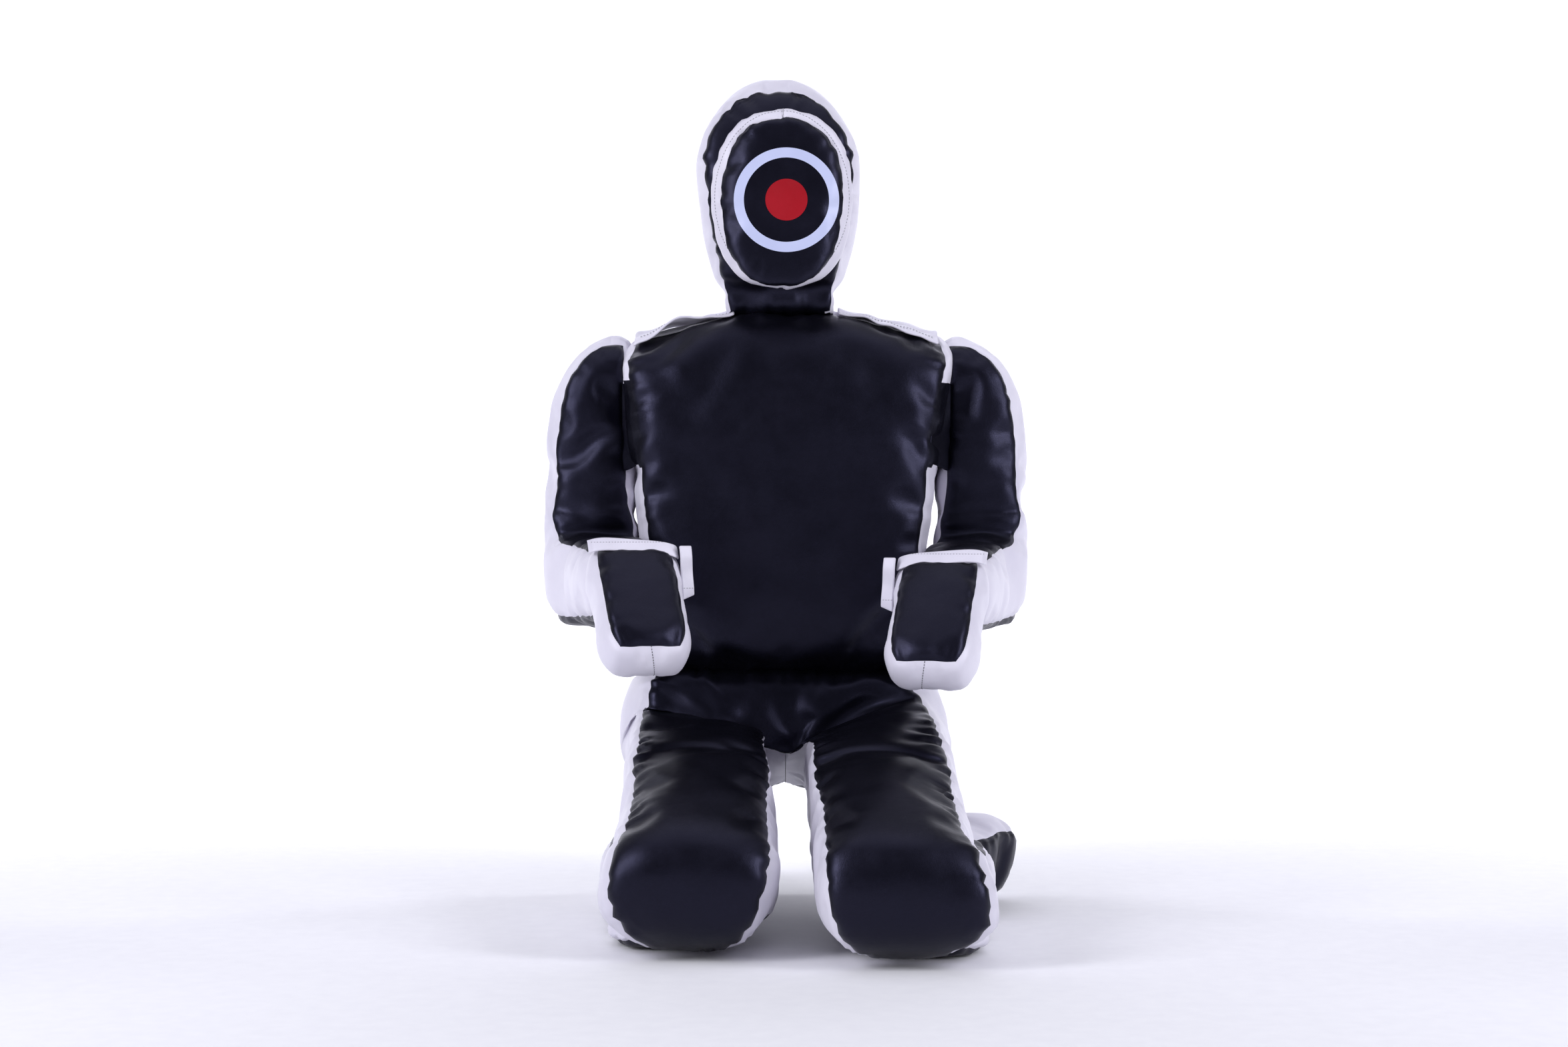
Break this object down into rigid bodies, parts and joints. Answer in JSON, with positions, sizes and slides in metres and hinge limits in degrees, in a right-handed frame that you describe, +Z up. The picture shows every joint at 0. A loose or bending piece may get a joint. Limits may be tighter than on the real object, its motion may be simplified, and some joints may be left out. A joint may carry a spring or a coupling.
{
  "type": "grappling dummy",
  "caption": "Life-size stuffed grappling dummy sewn like a boxed cushion, kneeling on its shins with both forearms reaching forward and a raised target pad for a face.",
  "frame": {"origin": "on the floor under the middle of the dummy's bounding box", "axes": "+Z up, -Y the way the dummy faces, +X towards the dummy's left arm"},
  "size_m": [0.6065, 0.7032, 1.053],
  "materials": {
    "black_leather": "satin",
    "white_leather": "satin",
    "textile_filling": "matte",
    "loop_tape": "matte",
    "print_ring": "satin",
    "print_red": "satin"
  },
  "bodies": {
    "pelvis": {"pelvis_filling": "textile_filling", "pelvis_gusset": "white_leather", "pelvis_panels": "black_leather"},
    "torso": {"torso_filling": "textile_filling", "torso_gusset": "white_leather", "torso_front_panel": "black_leather", "torso_back_panel": "black_leather", "shoulder_loop_tapes": "loop_tape"},
    "head": {"neck_filling": "textile_filling", "head_filling": "textile_filling", "head_gusset": "white_leather", "head_front_panel": "black_leather", "head_back_panel": "black_leather", "face_pad_filling": "textile_filling", "face_pad_gusset": "white_leather", "face_pad_panel": "black_leather", "target_ring": "print_ring", "target_disc": "print_red"},
    "flap_left": {"shoulder_flap_l": "white_leather"},
    "arm_root_left": {"arm_root_strap_l": "white_leather"},
    "upper_arm_left": {"upper_arm_filling_l": "textile_filling", "upper_arm_gusset_l": "white_leather", "upper_arm_panels_l": "black_leather"},
    "forearm_left": {"forearm_filling_l": "textile_filling", "forearm_gusset_l": "white_leather", "forearm_panels_l": "black_leather", "wrist_cuff_l": "white_leather"},
    "hand_left": {"hand_filling_l": "textile_filling", "hand_gusset_l": "white_leather", "hand_panels_l": "black_leather"},
    "thigh_left": {"thigh_filling_l": "textile_filling", "thigh_gusset_l": "white_leather", "thigh_panels_l": "black_leather"},
    "shin_left": {"shin_filling_l": "textile_filling", "shin_gusset_l": "white_leather", "shin_panels_l": "black_leather"},
    "foot_left": {"foot_filling_l": "textile_filling", "foot_gusset_l": "white_leather", "foot_panels_l": "black_leather"},
    "flap_right": {"shoulder_flap_r": "white_leather"},
    "arm_root_right": {"arm_root_strap_r": "white_leather"},
    "upper_arm_right": {"upper_arm_filling_r": "textile_filling", "upper_arm_gusset_r": "white_leather", "upper_arm_panels_r": "black_leather"},
    "forearm_right": {"forearm_filling_r": "textile_filling", "forearm_gusset_r": "white_leather", "forearm_panels_r": "black_leather", "wrist_cuff_r": "white_leather"},
    "hand_right": {"hand_filling_r": "textile_filling", "hand_gusset_r": "white_leather", "hand_panels_r": "black_leather"},
    "thigh_right": {"thigh_filling_r": "textile_filling", "thigh_gusset_r": "white_leather", "thigh_panels_r": "black_leather"},
    "shin_right": {"shin_filling_r": "textile_filling", "shin_gusset_r": "white_leather", "shin_panels_r": "black_leather"},
    "foot_right": {"foot_filling_r": "textile_filling", "foot_gusset_r": "white_leather", "foot_panels_r": "black_leather"}
  },
  "joints": [
    {"name": "waist_bend", "type": "hinge", "parent": "pelvis", "child": "torso", "pos_m": [-0.0062, 0.1918, 0.312], "axis": [1, 0, 0], "range_deg": [-5, 8]},
    {"name": "neck_nod", "type": "hinge", "parent": "torso", "child": "head", "pos_m": [-0.0062, 0.1918, 0.77], "axis": [1, 0, 0], "range_deg": [-15, 25]},
    {"name": "shoulder_flap_left", "type": "hinge", "parent": "torso", "child": "flap_left", "pos_m": [0.12459, 0.2058, 0.73437], "axis": [-0.9487, 0, 0.3162], "range_deg": [0, 85]},
    {"name": "shoulder_spread_left", "type": "hinge", "parent": "torso", "child": "arm_root_left", "pos_m": [0.1878, 0.1918, 0.716], "axis": [0, -1, 0], "range_deg": [0, 35]},
    {"name": "shoulder_swing_left", "type": "hinge", "parent": "arm_root_left", "child": "upper_arm_left", "pos_m": [0.2418, 0.1918, 0.66], "axis": [-1, 0, 0], "range_deg": [-5, 45]},
    {"name": "elbow_left", "type": "hinge", "parent": "upper_arm_left", "child": "forearm_left", "pos_m": [0.2418, 0.1918, 0.417], "axis": [-0.9703, 0.2419, 0], "range_deg": [-6, 22]},
    {"name": "wrist_left", "type": "hinge", "parent": "forearm_left", "child": "hand_left", "pos_m": [0.17705, -0.06788, 0.40297], "axis": [-0.9703, 0.2419, 0], "range_deg": [-30, 45]},
    {"name": "hip_left", "type": "hinge", "parent": "pelvis", "child": "thigh_left", "pos_m": [0.0978, 0.1468, 0.222], "axis": [-0.9969, -0.0785, 0], "range_deg": [-5, 12]},
    {"name": "knee_left", "type": "hinge", "parent": "thigh_left", "child": "shin_left", "pos_m": [0.13042, -0.26769, 0.078], "axis": [-0.9969, -0.0785, 0], "range_deg": [0, 100]},
    {"name": "ankle_left", "type": "hinge", "parent": "shin_left", "child": "foot_left", "pos_m": [0.18442, 0.11654, 0.05813], "axis": [0.2285, -0.1215, 0.9659], "range_deg": [-12, 12]},
    {"name": "shoulder_flap_right", "type": "hinge", "parent": "torso", "child": "flap_right", "pos_m": [-0.13699, 0.2058, 0.73437], "axis": [-0.9487, 0, -0.3162], "range_deg": [0, 85]},
    {"name": "shoulder_spread_right", "type": "hinge", "parent": "torso", "child": "arm_root_right", "pos_m": [-0.2002, 0.1918, 0.716], "axis": [0, 1, 0], "range_deg": [0, 35]},
    {"name": "shoulder_swing_right", "type": "hinge", "parent": "arm_root_right", "child": "upper_arm_right", "pos_m": [-0.2542, 0.1918, 0.66], "axis": [-1, 0, 0], "range_deg": [-5, 45]},
    {"name": "elbow_right", "type": "hinge", "parent": "upper_arm_right", "child": "forearm_right", "pos_m": [-0.2542, 0.1918, 0.417], "axis": [-0.9681, -0.2504, 0], "range_deg": [-6, 22]},
    {"name": "wrist_right", "type": "hinge", "parent": "forearm_right", "child": "hand_right", "pos_m": [-0.1871, -0.06766, 0.417], "axis": [-0.9681, -0.2504, 0], "range_deg": [-30, 45]},
    {"name": "hip_right", "type": "hinge", "parent": "pelvis", "child": "thigh_right", "pos_m": [-0.1102, 0.2068, 0.222], "axis": [-0.9997, 0.0262, 0], "range_deg": [-5, 12]},
    {"name": "knee_right", "type": "hinge", "parent": "thigh_right", "child": "shin_right", "pos_m": [-0.12108, -0.20883, 0.078], "axis": [-0.9997, 0.0262, 0], "range_deg": [0, 100]},
    {"name": "ankle_right", "type": "hinge", "parent": "shin_right", "child": "foot_right", "pos_m": [-0.17508, 0.1754, 0.038], "axis": [0.9903, -0.1392, 0], "range_deg": [-12, 12]}
  ]
}
